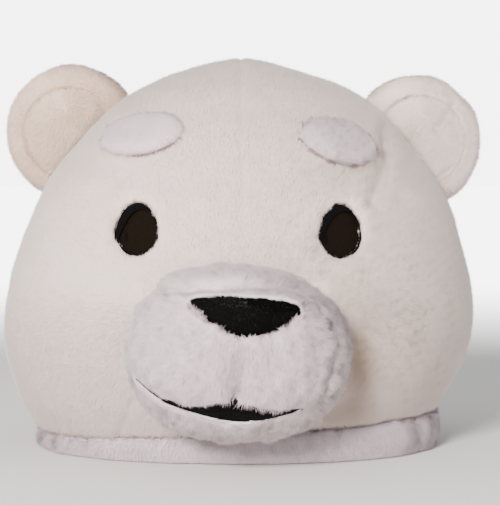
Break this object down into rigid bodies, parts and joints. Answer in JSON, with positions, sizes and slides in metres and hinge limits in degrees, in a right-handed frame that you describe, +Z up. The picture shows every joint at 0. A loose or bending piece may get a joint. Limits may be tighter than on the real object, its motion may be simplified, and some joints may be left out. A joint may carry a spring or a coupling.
{
  "type": "plush bear mask",
  "caption": "Hollow padded plush mascot head of a bear with round ears, oval brow pads, dark see-through eyes, a stuffed muzzle and a neck band.",
  "frame": {"origin": "centre of the bounding box in X and Y, at the flat lower edge of the neck band", "axes": "+Z up towards the crown, the face looks along -Y, +X is to the right of someone facing the mask"},
  "size_m": [0.389, 0.3756, 0.3108],
  "materials": {
    "white_plush": "short white plush pile on foam-backed cloth, matt with a soft sheen",
    "band_plush": "white plush band, slightly greyer, gathered",
    "black_plush": "black short-pile plush",
    "black_felt": "black felt, matt",
    "eye_mesh": "dark brown see-through mesh cloth"
  },
  "bodies": {
    "root": {"face_left": "white_plush", "face_right": "white_plush", "back_left": "white_plush", "back_right": "white_plush", "muzzle": "white_plush", "ear_left": "white_plush", "ear_right": "white_plush", "brow_left": "white_plush", "brow_right": "white_plush", "neck_band": "band_plush", "nose": "black_plush", "mouth_lining": "black_felt", "eye_rim_left": "black_felt", "eye_rim_right": "black_felt", "eye_screen_left": "eye_mesh", "eye_screen_right": "eye_mesh"}
  },
  "joints": []
}
